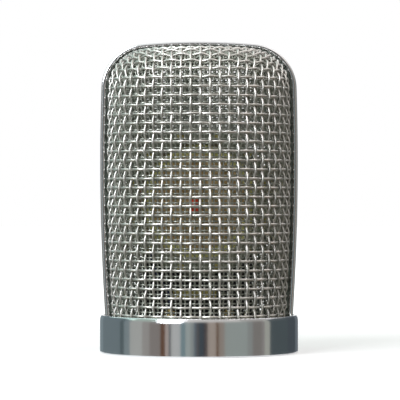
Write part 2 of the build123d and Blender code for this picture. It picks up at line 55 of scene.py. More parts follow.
MM = 0.001
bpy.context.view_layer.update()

# Keeps a division or a solve safe where a length is nothing.
TINY = 1e-9

Floats = NDArray[np.float64]
Bools = NDArray[np.bool_]
Colour = tuple[float, float, float, float]


class Body(Enum):
    """The CAD bodies that new pieces ride on."""

    BASE = "capsule_base"
    GRILLE = "grille"


class Side(Enum):
    """The two halves of the head; the value turns the front half's points into that half."""

    FRONT = 1.0
    REAR = -1.0

    @property
    def word(self) -> str:
        """The side's name as it stands in node names."""
        return self.name.lower()


# ---- mesh building -----------------------------------------------------------------------------


@dataclass
class Facets:
    """A mesh as whole arrays: points, and faces grouped by how many corners they have.

    Attributes:
        points: (n, 3) places in metres.
        faces: one (m, k) array of point numbers for each face size k.
    """

    points: Floats
    faces: list[NDArray[np.int64]]

    def build(self, name: str, smooth: bool = True) -> bpy.types.Object:
        """Makes the Blender object, at the origin, unturned and unscaled.

        Args:
            name: the piece's name.
            smooth: whether its faces shade as one surface.

        Returns:
            The linked object.
        """
        used, renumbered = np.unique(
            np.concatenate([group.ravel() for group in self.faces]), return_inverse=True
        )
        sizes = np.concatenate([np.full(len(group), group.shape[1]) for group in self.faces])
        starts = np.concatenate([[0], np.cumsum(sizes)[:-1]])
        mesh = bpy.data.meshes.new(name)
        mesh.vertices.add(len(used))
        mesh.vertices.foreach_set("co", self.points[used].astype(np.float32).ravel())
        mesh.loops.add(int(sizes.sum()))
        mesh.loops.foreach_set("vertex_index", renumbered.ravel().astype(np.int32))
        mesh.polygons.add(len(sizes))
        mesh.polygons.foreach_set("loop_start", starts.astype(np.int32))
        mesh.polygons.foreach_set("loop_total", sizes.astype(np.int32))
        mesh.polygons.foreach_set("use_smooth", np.full(len(sizes), smooth))
        mesh.update(calc_edges=True)
        mesh.validate()
        piece = bpy.data.objects.new(name, mesh)
        bpy.context.scene.collection.objects.link(piece)
        return piece


# ---- finishes ----------------------------------------------------------------------------------


def linear(hex_colour: str) -> Colour:
    """Turns an sRGB hex colour to linear light, by the sRGB standard's own curve.

    Args:
        hex_colour: six hex digits after a hash.

    Returns:
        Linear red, green and blue, and an alpha of one.
    """
    channels = np.array([int(hex_colour[at : at + 2], 16) for at in (1, 3, 5)]) / 255
    low, high = channels / 12.92, ((channels + 0.055) / 1.055) ** 2.4
    return (*(float(value) for value in np.where(channels <= 0.04045, low, high)), 1.0)


def add_node(
    tree: bpy.types.NodeTree,
    kind: str,
    settings: dict[str, object] | None = None,
    inputs: dict[str | int, object] | None = None,
) -> bpy.types.Node:
    """Adds a node with its settings, values and links.

    Args:
        tree: the tree that gets the node.
        kind: the node's type, without its ShaderNode prefix.
        settings: properties of the node.
        inputs: for each input, by name or number, a value or the output socket that feeds it.

    Returns:
        The node.
    """
    node = tree.nodes.new(f"ShaderNode{kind}")
    for key, value in (settings or {}).items():
        setattr(node, key, value)
    for key, value in (inputs or {}).items():
        if isinstance(value, bpy.types.NodeSocket):
            tree.links.new(value, node.inputs[key])
        else:
            node.inputs[key].default_value = value
    return node


def grey(value: float) -> Colour:
    """A grey of one linear value."""
    return (value, value, value, 1.0)


def mirrored_rays(tree: bpy.types.NodeTree, path: bpy.types.Node) -> bpy.types.NodeSocket:
    """Tells rays that come off metal or through glass from the rest.

    Args:
        tree: the tree that gets the test.
        path: its Light Path node.

    Returns:
        One for such rays, and zero for the rest.
    """
    either = add_node(
        tree,
        "Math",
        {"operation": "MAXIMUM"},
        {0: path.outputs["Is Glossy Ray"], 1: path.outputs["Is Transmission Ray"]},
    )
    return either.outputs["Value"]


@dataclass(frozen=True)
class Finish:
    """A surface of one material with patchy colour, patchy roughness and a fine grain.

    Attributes:
        name: the material's name.
        colour: sRGB hex of the clean surface.
        dulled: sRGB hex of its darker or tarnished patches.
        metallic: one for a metal.
        roughness: of the clean surface.
        roughness_spread: how much rougher the patches are.
        patch_mm: size of the patches.
        grain_mm: size of the grain.
        grain_depth_mm: height of the grain.
        ior: index of refraction of what isn't a metal.
        patch_edges: the noise values at which a patch starts and is full.
        octaves: how many sizes of noise the patches and the grain have.
    """

    name: str
    colour: str
    dulled: str
    metallic: float = 1.0
    roughness: float = 0.3
    roughness_spread: float = 0.1
    patch_mm: float = 6.0
    grain_mm: float = 0.2
    grain_depth_mm: float = 0.004
    ior: float = 1.5
    patch_edges: tuple[float, float] = (0.35, 0.7)
    octaves: tuple[float, float] = (4.0, 3.0)

    def material(self) -> bpy.types.Material:
        """Builds the finish's node tree.

        Returns:
            The material.
        """
        material = bpy.data.materials.new(self.name)
        material.use_nodes = True
        tree = material.node_tree
        tree.nodes.clear()
        place = add_node(tree, "TexCoord").outputs["Object"]
        shader = add_node(tree, "BsdfPrincipled", inputs={"Metallic": self.metallic})
        if not self.metallic:
            shader.inputs["IOR"].default_value = self.ior
        for socket, value in self.surface(tree, place).items():
            tree.links.new(value, shader.inputs[socket])
        output = add_node(tree, "OutputMaterial")
        tree.links.new(shader.outputs["BSDF"], output.inputs["Surface"])
        return material

    def patches(
        self, tree: bpy.types.NodeTree, place: bpy.types.NodeSocket
    ) -> bpy.types.NodeSocket:
        """Soft patches that run from zero to one.

        Args:
            tree: the material's tree.
            place: the piece's own coordinates.

        Returns:
            The patches' value.
        """
        noise = add_node(
            tree,
            "TexNoise",
            inputs={
                "Vector": place,
                "Scale": 1 / (self.patch_mm * MM),
                "Detail": self.octaves[0],
            },
        )
        start, full = self.patch_edges
        spread = add_node(
            tree,
            "MapRange",
            {"interpolation_type": "SMOOTHSTEP"},
            {"Value": noise.outputs["Fac"], "From Min": start, "From Max": full},
        )
        return spread.outputs["Result"]

    def surface(
        self, tree: bpy.types.NodeTree, place: bpy.types.NodeSocket
    ) -> dict[str, bpy.types.NodeSocket]:
        """What feeds the shader's colour, roughness and normal.

        Args:
            tree: the material's tree.
            place: the piece's own coordinates.

        Returns:
            For each input of the shader, the socket that feeds it.
        """
        patches = self.patches(tree, place)
        colour = add_node(
            tree,
            "Mix",
            {"data_type": "RGBA"},
            {0: patches, 6: linear(self.colour), 7: linear(self.dulled)},
        )
        roughness = add_node(
            tree,
            "MapRange",
            inputs={
                "Value": patches,
                "To Min": self.roughness,
                "To Max": min(1.0, self.roughness + self.roughness_spread),
            },
        )
        return {
            "Base Color": colour.outputs[2],
            "Roughness": roughness.outputs["Result"],
            "Normal": self.bumped(tree, self.grain(tree, place)),
        }

    def grain(self, tree: bpy.types.NodeTree, place: bpy.types.NodeSocket) -> bpy.types.NodeSocket:
        """The height of the grain, from zero to one."""
        noise = add_node(
            tree,
            "TexNoise",
            inputs={
                "Vector": place,
                "Scale": 1 / (self.grain_mm * MM),
                "Detail": self.octaves[1],
            },
        )
        return noise.outputs["Fac"]

    def bumped(
        self, tree: bpy.types.NodeTree, height: bpy.types.NodeSocket
    ) -> bpy.types.NodeSocket:
        """The normal of a surface with that height pattern, as deep as the finish's grain."""
        bump = add_node(
            tree,
            "Bump",
            inputs={"Height": height, "Distance": self.grain_depth_mm * MM, "Strength": 1.0},
        )
        return bump.outputs["Normal"]


@dataclass(frozen=True)
class TurnedFinish(Finish):
    """Metal turned on a lathe: fine concentric grooves about an axis through a centre.

    Attributes:
        centre_mm: a point on the axis.
        flat: whether the axis runs along Y, as on the capsule, in place of Z.
    """

    centre_mm: tuple[float, float, float] = (0.0, 0.0, 0.0)
    flat: bool = False
    octaves: tuple[float, float] = (4.0, 2.0)

    def grain(self, tree: bpy.types.NodeTree, place: bpy.types.NodeSocket) -> bpy.types.NodeSocket:
        """Grooves one grain apart, rings on the flats and circles round the walls."""
        offset = add_node(
            tree,
            "VectorMath",
            {"operation": "SUBTRACT"},
            {0: place, 1: tuple(value * MM for value in self.centre_mm)},
        )
        parts = add_node(tree, "SeparateXYZ", inputs={"Vector": offset.outputs["Vector"]})
        across = "Z" if self.flat else "Y"
        along = "Y" if self.flat else "Z"
        plane = add_node(
            tree, "CombineXYZ", inputs={"X": parts.outputs["X"], "Y": parts.outputs[across]}
        )
        radius = add_node(tree, "VectorMath", {"operation": "LENGTH"}, {0: plane.outputs["Vector"]})
        total = add_node(
            tree,
            "Math",
            {"operation": "ADD"},
            {0: radius.outputs["Value"], 1: parts.outputs[along]},
        )
        line = add_node(tree, "CombineXYZ", inputs={"X": total.outputs["Value"]})
        return super().grain(tree, line.outputs["Vector"])


CAPSULE_CENTRE_MM = (0.0, 0.0, 35.0)


@dataclass(frozen=True)
class FilmFinish(Finish):
    """Metal sputtered on the middle of a clear film that is stretched over brass.

    Attributes:
        gilt_radius_mm: how far out the metal reaches.
        edge_mm: over how wide a ring it thins out.
        bare: sRGB hex of what shows past it.
    """

    gilt_radius_mm: float = 11.0
    edge_mm: float = 0.6
    bare: str = "#DEDA96"

    def surface(
        self, tree: bpy.types.NodeTree, place: bpy.types.NodeSocket
    ) -> dict[str, bpy.types.NodeSocket]:
        """The gilt's own surface, and past its edge the bare colour.

        Args:
            tree: the material's tree.
            place: the piece's own coordinates.

        Returns:
            For each input of the shader, the socket that feeds it.
        """
        sockets = super().surface(tree, place)
        centre = tuple(value * MM for value in CAPSULE_CENTRE_MM)
        offset = add_node(tree, "VectorMath", {"operation": "SUBTRACT"}, {0: place, 1: centre})
        flat = add_node(
            tree,
            "VectorMath",
            {"operation": "MULTIPLY"},
            {0: offset.outputs[0], 1: (1.0, 0.0, 1.0)},
        )
        radius = add_node(tree, "VectorMath", {"operation": "LENGTH"}, {0: flat.outputs[0]})
        past = add_node(
            tree,
            "MapRange",
            inputs={
                "Value": radius.outputs["Value"],
                "From Min": (self.gilt_radius_mm - self.edge_mm / 2) * MM,
                "From Max": (self.gilt_radius_mm + self.edge_mm / 2) * MM,
            },
        )
        mixed = add_node(
            tree,
            "Mix",
            {"data_type": "RGBA"},
            {0: past.outputs["Result"], 6: sockets["Base Color"], 7: linear(self.bare)},
        )
        return sockets | {"Base Color": mixed.outputs[2]}


# Drawing marks, lathe lines and fine textures lie a few hundredths of a millimetre apart, too fine to
# show, so they are drawn 0.1 to 0.3 mm apart.

# Bright chrome plate on brass, buffed before plating: a mirror, a little soft from handling, with the
# faintest orange peel.
CHROME = Finish(
    "buffed_chrome_plate", "#E8E8EB", "#E5E5E8", roughness=0.118, roughness_spread=0.006,
    patch_mm=9.0, grain_mm=1.5, grain_depth_mm=0.0003,
)
# Dull nickel plate on brass wire that was drawn, then woven: pale grey, with broad soft highlights.
OUTER_WIRE = Finish(
    "nickel_plated_wire", "#E2DEDB", "#C7C5C0", roughness=0.4,
    patch_mm=2.5, grain_mm=0.12, grain_depth_mm=0.003,
)
# The finer inner cloth, drawn, woven and plated the same way. Its colour is a shade duller and
# greener than the outer cloth's: painted shade, for the light that the outer cloth keeps off it.
SHADED_INNER_WIRE = Finish(
    "nickel_plated_fine_wire", "#D0D1CA", "#B4B7AE", roughness=0.44,
    patch_mm=2.0, grain_mm=0.1, grain_depth_mm=0.002,
)
# Soft solder run along a brass rib by iron: leaden grey, lumpy.
SOLDER = Finish(
    "soldered_brass", "#B4BDB6", "#8E978F", roughness=0.5, roughness_spread=0.15,
    patch_mm=1.2, grain_mm=0.5, grain_depth_mm=0.03,
)
# Nickel plate over turned brass: grey, a little green, with lathe lines under the plate.
NICKEL_TURNED = TurnedFinish(
    "nickel_on_turned_brass", "#B9BAAC", "#9C9E8F", roughness=0.3, roughness_spread=0.12,
    patch_mm=5.0, grain_mm=0.12, grain_depth_mm=0.003,
)
# The same plate on the capsule's rings, which were faced on the lathe: the lines are circles about the
# capsule's middle, so that a highlight fans out across the ring.
NICKEL_RING = TurnedFinish(
    "nickel_on_faced_brass", "#B4B8A8", "#959A8A", roughness=0.32, roughness_spread=0.12,
    patch_mm=5.0, grain_mm=0.12, grain_depth_mm=0.003, centre_mm=CAPSULE_CENTRE_MM, flat=True,
)
# Bare brass, faced on the lathe: yellow, tarnished browner in patches.
BRASS_TURNED = TurnedFinish(
    "turned_brass", "#C2A35A", "#9A7D42", roughness=0.28, roughness_spread=0.18,
    patch_mm=5.0, grain_mm=0.12, grain_depth_mm=0.004, centre_mm=CAPSULE_CENTRE_MM, flat=True,
)
# Small brass screws and terminals, machined and left bare: pale yellow and satin, handled duller.
BRASS = Finish(
    "machined_brass", "#DCD08C", "#BAAF70", roughness=0.36, roughness_spread=0.15,
    patch_mm=1.5, grain_mm=0.15, grain_depth_mm=0.003,
)
# Gold sputtered on stretched film: pale and satin, with faint slack ripples. Past the gold's edge the
# film is bare, and the brass behind it shows through, greener.
GOLD_FILM = FilmFinish(
    "gold_sputtered_film", "#D6BC90", "#BAA074", roughness=0.48, roughness_spread=0.08,
    patch_mm=4.0, grain_mm=2.5, grain_depth_mm=0.01,
)
# A flash of gold over turned brass contacts: a warm pale yellow that never tarnishes, softly bright.
GOLD_PLATE = Finish(
    "flash_gold_plate", "#ECD596", "#E9D293", roughness=0.29, roughness_spread=0.03,
    patch_mm=1.5, grain_mm=0.15, grain_depth_mm=0.0005,
)
# Moulded phenolic: black, slightly glossy, with the fine texture of its mould.
BLACK_MOULDING = Finish(
    "black_phenolic", "#0E0E0F", "#1A1A1A", metallic=0.0, roughness=0.42, roughness_spread=0.15,
    patch_mm=5.0, grain_mm=0.25, grain_depth_mm=0.01, ior=1.6,
)
# Insulators turned from polymer rod: ivory, matt from the tool.
INSULATOR = Finish(
    "machined_polymer", "#CFC9B4", "#B8B09A", metallic=0.0, roughness=0.5,
    patch_mm=3.0, grain_mm=0.2, grain_depth_mm=0.006, ior=1.55,
)
# Pads moulded in soft rubber: black and dull, greying where it blooms.
RUBBER = Finish(
    "soft_rubber", "#161616", "#242424", metallic=0.0, roughness=0.75, roughness_spread=0.15,
    patch_mm=3.0, grain_mm=0.3, grain_depth_mm=0.012, ior=1.52,
)
# Rolled steel screws, zinc plated: a cool, even grey with a soft shine.
STEEL = Finish(
    "zinc_plated_steel", "#B9BABC", "#9A9B9C", roughness=0.3, roughness_spread=0.15,
    patch_mm=1.5, grain_mm=0.15, grain_depth_mm=0.003,
)
# Grub screws blackened in hot salts and oiled: near black, with a dim metal shine.
BLACK_STEEL = Finish(
    "blackened_steel", "#2B2B2D", "#3A3A3B", roughness=0.4, roughness_spread=0.15,
    patch_mm=1.0, grain_mm=0.12, grain_depth_mm=0.003,
)
# Spring wire, drawn hard and coiled cold: plain steel grey, with dull drawing marks.
SPRING_STEEL = Finish(
    "drawn_spring_steel", "#C4C4C6", "#C2C2C4", roughness=0.385, roughness_spread=0.03,
    patch_mm=1.0, grain_mm=0.1, grain_depth_mm=0.0005,
)
# Extruded polymer sleeving, dyed red: bright and a little glossy, darker where heat has reached it.
RED_SLEEVE = Finish(
    "red_sleeving", "#FA5C34", "#D84624", metallic=0.0, roughness=0.4, roughness_spread=0.12,
    patch_mm=1.2, grain_mm=0.2, grain_depth_mm=0.006, ior=1.48,
)
# Extruded polymer insulation, dyed dark blue: smooth and a little glossy.
BLUE_LEAD = Finish(
    "blue_wire_insulation", "#1C2E58", "#142244", metallic=0.0, roughness=0.4,
    roughness_spread=0.12, patch_mm=1.2, grain_mm=0.2, grain_depth_mm=0.006, ior=1.48,
)
# Fine copper wire, hot tinned: silver grey, duller where the tin has run thick.
TINNED_LEAD = Finish(
    "tinned_lead_wire", "#BDBAB2", "#A29E94", roughness=0.3, roughness_spread=0.15,
    patch_mm=1.0, grain_mm=0.12, grain_depth_mm=0.003,
)


# ---- the head's outline and its woven cloth ----------------------------------------------------


@dataclass(frozen=True)
class HeadSurface:
    """A surface of revolution about Z whose outline is a side arc, a shoulder arc and a crown arc.

    Each arc is tangent to the next. The arcs of the hoop's outline are moved inwards by one depth
    at the side and another at the crown. All in millimetres.
    """

    side_inset: float
    crown_inset: float
    height: float
    half_width: float
    widest: float = 44.0
    side_arc: float = 560.0
    shoulder_arc: float = 10.4
    crown_arc: float = 146.0

    def inside(self, depth: float) -> "HeadSurface":
        """The surface a further depth inwards."""
        return replace(
            self, side_inset=self.side_inset + depth, crown_inset=self.crown_inset + depth
        )

    @property
    def radii(self) -> Floats:
        """The radii of the side, shoulder and crown arcs."""
        mean = (self.side_inset + self.crown_inset) / 2
        insets = np.array([self.side_inset, mean, self.crown_inset])
        return np.array([self.side_arc, self.shoulder_arc, self.crown_arc]) - insets

    @property
    def centres(self) -> Floats:
        """The centres of the three arcs, as (radius, height) rows.

        The shoulder's centre is where circles about the other two meet, on the outer side.
        """
        side = np.array([self.half_width - self.side_arc, self.widest])
        crown = np.array([0.0, self.height - self.crown_arc])
        reach_side, reach_crown = self.radii[0] - self.radii[1], self.radii[2] - self.radii[1]
        between = crown - side
        span = hypot(*between)
        along = (reach_side**2 - reach_crown**2 + span**2) / (2 * span)
        across = sqrt(reach_side**2 - along**2)
        unit = between / span
        normal = np.array([unit[1], -unit[0]])
        normal = normal if normal[0] > 0 else -normal
        return np.array([side, side + unit * along + normal * across, crown])

    @property
    def joins(self) -> Floats:
        """Unit directions from the shoulder's centre to where it meets the side and the crown."""
        side, shoulder, crown = self.centres
        directions = np.array([shoulder - side, shoulder - crown])
        return directions / np.linalg.norm(directions, axis=1, keepdims=True)

    def distance(self, points: Floats) -> tuple[Floats, Floats]:
        """How far points lie outside the surface, and the way straight out of it.

        In the half plane through a point and the axis, the nearest arc is the one in whose sector,
        as seen from the shoulder's centre, the point lies; the distance is that from the arc's
        centre less its radius.

        Args:
            points: (..., 3) places.

        Returns:
            (...) distances and (..., 3) unit outward directions.
        """
        radius = np.hypot(points[..., 0], points[..., 1])
        flat = np.stack([radius, points[..., 2]], -1)
        seen = flat - self.centres[1]
        to_side, to_crown = self.joins
        past_crown = to_crown[0] * seen[..., 1] - to_crown[1] * seen[..., 0] > 0
        before_side = to_side[0] * seen[..., 1] - to_side[1] * seen[..., 0] < 0
        arc = np.where(past_crown, 2, np.where(before_side, 0, 1))
        away = flat - self.centres[arc]
        reach = np.linalg.norm(away, axis=-1)
        out = away / reach[..., None]
        turn = points[..., :2] / np.maximum(radius, TINY)[..., None]
        return reach - self.radii[arc], np.concatenate([out[..., :1] * turn, out[..., 1:]], -1)

    def meridian(self, lengths: Floats, start: float) -> tuple[Floats, Floats]:
        """Points along the outline at arc lengths from a height on the side arc, up for positive.

        Args:
            lengths: arc lengths.
            start: the height where they start.

        Returns:
            The points' radii, negative past the top, and their heights.
        """
        centres, radii = self.centres, self.radii
        to_side, to_crown = self.joins
        first = asin((start - centres[0][1]) / radii[0])
        angles = np.array([first, atan2(to_side[1], to_side[0]), atan2(to_crown[1], to_crown[0])])
        ends = np.cumsum(np.diff(angles) * radii[:2])
        arc = np.searchsorted(ends, lengths)
        starts = np.concatenate([[0.0], ends])
        turned = angles[arc] + (lengths - starts[arc]) / radii[arc]
        place = centres[arc] + radii[arc][:, None] * np.stack([np.cos(turned), np.sin(turned)], -1)
        return place[:, 0], place[:, 1]

    def outline(self, foot: float, steps: int = 48) -> Floats:
        """The whole outline from foot to foot over the top, the same number of points on each arc.

        Args:
            foot: the height of its ends.
            steps: how many points an arc has.

        Returns:
            (n, 2) places as x and z, from the +X foot to the -X foot.
        """
        centres, radii = self.centres, self.radii
        to_side, to_crown = self.joins
        first = asin((foot - centres[0][1]) / radii[0])
        angles = [first, atan2(to_side[1], to_side[0]), atan2(to_crown[1], to_crown[0]), pi / 2]
        share = np.arange(steps) / steps
        half = np.concatenate(
            [
                centre + radius * np.stack([np.cos(turned), np.sin(turned)], -1)
                for centre, radius, start, stop in zip(centres, radii, angles, angles[1:])
                for turned in [start + share * (stop - start)]
            ]
        )
        top = [[0.0, centres[2][1] + radii[2]]]
        return np.concatenate([half, top, half[::-1] * [-1, 1]])


@dataclass
class WovenCloth:
    """Plain-woven wire cloth pressed over the front half of the head.

    Cloth pressed to shape keeps the length of every wire between crossings and only shears, so its
    crossings are a net whose cells all have the same two side lengths. The net grows from one
    upright wire at the middle and one level wire round the widest part. All in millimetres.

    Attributes:
        surface: what the cloth's own middle lies on.
        wire: its wire's thickness.
        across: between upright wires.
        up: between level wires.
        middle: from the half's middle to the upright wire that the net grows from.
        level: the height of the level wire that it grows from.
        foot: the height where the wires are cut off.
        edge: how far in front of the middle plane they are cut off.
        rings_per_cell: sections of a wire from one crossing to the next.
        corners: of a section.
        unevenness: how far crossings stray from the net, as a standard deviation.
        seed: of the strays.
        spare: columns and rows of the net past what the half needs, for the cuts to fall in.
        steps: of Newton's method for each crossing.
        longest_step: of Newton's method, as a share of up.
    """

    surface: HeadSurface
    wire: float
    across: float
    up: float
    middle: float
    level: float
    foot: float
    edge: float
    rings_per_cell: int = 5
    corners: int = 8
    unevenness: float = 0.03
    seed: int = 11
    spare: tuple[int, int] = (3, 2)
    steps: int = 8
    longest_step: float = 0.4

    def net(self) -> tuple[Floats, int]:
        """Works out every crossing of the cloth.

        Returns:
            (columns, rows, 3) crossings, and the parity of column plus row at which an upright
            wire passes over.
        """
        rows_up = int((self.surface.height - self.level + self.surface.half_width) / self.up)
        rows_down = int((self.level - self.foot) / self.up) + self.spare[1]
        columns = int(pi / 2 * self.surface.half_width / self.across) + self.spare[0]
        upper = [self.quadrant(way, 1, columns, rows_up) for way in (-1, 1)]
        lower = [self.quadrant(way, -1, columns, rows_down) for way in (-1, 1)]
        top = np.concatenate([upper[0][:0:-1], upper[1]])
        bottom = np.concatenate([lower[0][:0:-1], lower[1]])
        return np.concatenate([bottom[:, :0:-1], top], 1), (columns + rows_down + 1) % 2

    def quadrant(self, sideways: int, upwards: int, columns: int, rows: int) -> Floats:
        """Grows a quarter of the net, one diagonal of crossings at a time.

        Each new crossing lies on the surface, one column pitch from the crossing beside it and one
        row pitch from the crossing below it. Newton's method finds it from the parallelogram on the
        three crossings before it.

        Args:
            sideways: 1 for the right, -1 for the left.
            upwards: 1 for up, -1 for down.
            columns: how many columns to grow.
            rows: how many rows to grow.

        Returns:
            (columns + 1, rows + 1, 3) crossings.
        """
        net = np.zeros((columns + 1, rows + 1, 3))
        radius, height = self.surface.meridian(upwards * self.up * np.arange(rows + 1), self.level)
        depth = np.sqrt(np.maximum(radius**2 - self.middle**2, 0.0)) * np.sign(radius)
        net[0] = np.stack([np.full_like(radius, self.middle), -depth, height], -1)
        widest = radius[0]
        step = 2 * asin(self.across / 2 / widest)
        turn = asin(self.middle / widest) + sideways * step * np.arange(columns + 1)
        level = np.full_like(turn, height[0])
        net[:, 0] = np.stack([widest * np.sin(turn), -widest * np.cos(turn), level], -1)
        for diagonal in range(2, columns + rows + 1):
            column = np.arange(max(1, diagonal - rows), min(columns, diagonal - 1) + 1)
            row = diagonal - column
            beside, below = net[column - 1, row], net[column, row - 1]
            net[column, row] = self.crossing(beside, below, net[column - 1, row - 1])
        return net

    def crossing(self, beside: Floats, below: Floats, corner: Floats) -> Floats:
        """The crossings that complete cells whose other three crossings are known.

        Args:
            beside: (n, 3) crossings one column before.
            below: (n, 3) crossings one row before.
            corner: (n, 3) crossings one column and one row before.

        Returns:
            (n, 3) crossings.
        """
        point = beside + below - corner
        for _ in range(self.steps):
            gap, out = self.surface.distance(point)
            to_beside, to_below = point - beside, point - below
            too_wide = (to_beside**2).sum(-1) - self.across**2
            too_tall = (to_below**2).sum(-1) - self.up**2
            misses = np.stack([too_wide, too_tall, gap], -1)
            slopes = np.stack([2 * to_beside, 2 * to_below, out], -2)
            slopes += TINY * np.eye(3)
            move = np.linalg.solve(slopes, misses[..., None])[..., 0]
            length = np.linalg.norm(move, axis=-1, keepdims=True)
            longest = self.longest_step * self.up
            point = point - move * np.minimum(1.0, longest / np.maximum(length, TINY))
        return point

    def wires(self, crossings: Floats, over: NDArray[np.int64]) -> "Wires":
        """The smooth middle lines of one family of wires.

        Each line is a Catmull-Rom spline through its crossings, put back on the surface, and moved
        out and in by one wire radius in a cosine wave, so that it passes over and under in turn.

        Args:
            crossings: (wires, crossings, 3) places.
            over: (wires, crossings) 1 where the wire passes over and -1 where it passes under.

        Returns:
            The wires, with the way straight out of the cloth at each point.
        """
        first = 2 * crossings[:, :1] - crossings[:, 1:2]
        last = 2 * crossings[:, -1:] - crossings[:, -2:-1]
        padded = np.concatenate([first, crossings, last], 1)
        share = (np.arange(self.rings_per_cell) / self.rings_per_cell)[:, None]
        cells = crossings.shape[1] - 1
        before, here, there, after = (padded[:, at : at + cells, None] for at in range(4))
        line = 0.5 * (
            2 * here
            + (there - before) * share
            + (2 * before - 5 * here + 4 * there - after) * share**2
            + (3 * here - before - 3 * there + after) * share**3
        )
        count = crossings.shape[0]
        line = line.reshape(count, -1, 3)
        gap, out = self.surface.distance(line)
        wave = over[:, :-1, None] * np.cos(pi * share[:, 0])
        lift = self.wire / 2 * wave.reshape(count, -1)
        return Wires(line + (lift - gap)[..., None] * out, out)

    def build(self, name: str, side: Side, families: Iterable[str]) -> bpy.types.Object:
        """Makes one half of the cloth, or one family of its wires.

        Args:
            name: the piece's name.
            side: which half of the head it covers.
            families: "upright", "level" or both.

        Returns:
            The piece.
        """
        net, parity = self.net()
        net += np.random.default_rng(self.seed).normal(0.0, self.unevenness, net.shape)
        column, row = np.indices(net.shape[:2])
        over = np.where((column + row) % 2 == parity, 1, -1)
        points, faces = [], []
        for family in families:
            lines = net if family == "upright" else net.transpose(1, 0, 2)
            passes = over if family == "upright" else -over.T
            wires = self.wires(lines, passes).trimmed(self.foot, self.edge)
            tube = wires.tubes(self.wire / 2, self.corners)
            shift = sum(len(group) for group in points)
            points.append(tube.points)
            faces += [group + shift for group in tube.faces]
        turned = np.concatenate(points) * np.array([side.value, side.value, 1.0])
        return Facets(turned * MM, faces).build(name)


@dataclass
class Wires:
    """Middle lines of wires, as (wires, points, 3) arrays, with the way out of the cloth."""

    lines: Floats
    out: Floats
    kept: Bools | None = None

    def trimmed(self, foot: float, edge: float) -> "Wires":
        """Cuts the wires off at the foot and at the edge of the half.

        A point is kept where it is above the foot and in front of the edge. The first point past a
        kept one moves back to the cut.

        Args:
            foot: the height of the foot.
            edge: how far in front of the middle plane the half ends.

        Returns:
            The trimmed wires.
        """
        room = np.minimum(self.lines[..., 2] - foot, -self.lines[..., 1] - edge)
        kept = room >= 0
        lines = self.lines.copy()
        ends = np.zeros_like(kept)
        for here, beside in ((slice(1, None), slice(None, -1)), (slice(None, -1), slice(1, None))):
            cut = ~kept[:, here] & kept[:, beside]
            inside, past = room[:, beside], room[:, here]
            share = (inside / np.maximum(inside - past, TINY))[..., None]
            moved = self.lines[:, beside] + share * (self.lines[:, here] - self.lines[:, beside])
            lines[:, here] = np.where(cut[..., None], moved, lines[:, here])
            ends[:, here] |= cut
        return Wires(lines, self.out, kept | ends)

    def tubes(self, radius: float, corners: int) -> Facets:
        """Carries a round section along every wire and closes its ends.

        The section's corner a lies at centre + radius (cos a out + sin a across), where across is
        square to the wire and to the way out.

        Args:
            radius: of the wire.
            corners: how many the section has.

        Returns:
            The tubes, as one mesh.
        """
        count, length = self.lines.shape[:2]
        kept = self.kept if self.kept is not None else np.ones((count, length), bool)
        ahead = np.gradient(self.lines, axis=1)
        ahead /= np.maximum(np.linalg.norm(ahead, axis=-1, keepdims=True), TINY)
        out = self.out - (self.out * ahead).sum(-1, keepdims=True) * ahead
        out /= np.linalg.norm(out, axis=-1, keepdims=True)
        across = np.cross(ahead, out)
        angle = (2 * pi * np.arange(corners) / corners)[:, None]
        ring = np.cos(angle) * out[..., None, :] + np.sin(angle) * across[..., None, :]
        points = self.lines[..., None, :] + radius * ring
        numbers = np.arange(count * length * corners).reshape(count, length, corners)
        joined = kept[:, :-1] & kept[:, 1:]
        here, there = numbers[:, :-1][joined], numbers[:, 1:][joined]
        walls = np.stack([here, np.roll(here, -1, 1), np.roll(there, -1, 1), there], -1)
        none = np.zeros((count, 1), bool)
        starts = np.concatenate([joined, none], 1) & ~np.concatenate([none, joined], 1)
        stops = np.concatenate([none, joined], 1) & ~np.concatenate([joined, none], 1)
        caps = np.concatenate([numbers[starts][:, ::-1], numbers[stops]])
        return Facets(points.reshape(-1, 3), [walls.reshape(-1, 4), caps])


# ---- sub-assemblies ----------------------------------------------------------------------------


@dataclass
class SubAssembly:
    """Pieces that belong together on one body, with the finish of each CAD node among them.

    A finish's name is its own: the frame brings materials named after the record's slots, and one
    of the same name would be taken for it.
    """

    finishes: dict[Finish, tuple[str, ...]] = field(default_factory=dict)
    body: Body = Body.BASE

    def paint(self, piece: bpy.types.Object, finish: Finish) -> None:
        """Gives a piece one finish all over, whose material is made once."""
        piece.data.materials.clear()
        piece.data.materials.append(bpy.data.materials.get(finish.name) or finish.material())

    def dress(self) -> None:
        """Gives each CAD node its finish."""
        for finish, nodes in self.finishes.items():
            for node in nodes:
                self.paint(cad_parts[node], finish)
                log.info("dressed %s in %s", node, finish.name)

    def hang(self, piece: bpy.types.Object, node: str, finish: Finish, slot: str) -> None:
        """Puts a piece on the body in place of its CAD node.

        Args:
            piece: the piece.
            node: the CAD node that it stands for.
            finish: its finish.
            slot: the record's material slot of its CAD node; not used.
        """
        self.paint(piece, finish)
        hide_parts(node)
        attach(piece, self.body.value)
        log.info("%s: %d faces", piece.name, len(piece.data.polygons))


def both(name: str) -> tuple[str, str]:
    """The front and the rear node of that name."""
    return (f"{name}_front", f"{name}_rear")


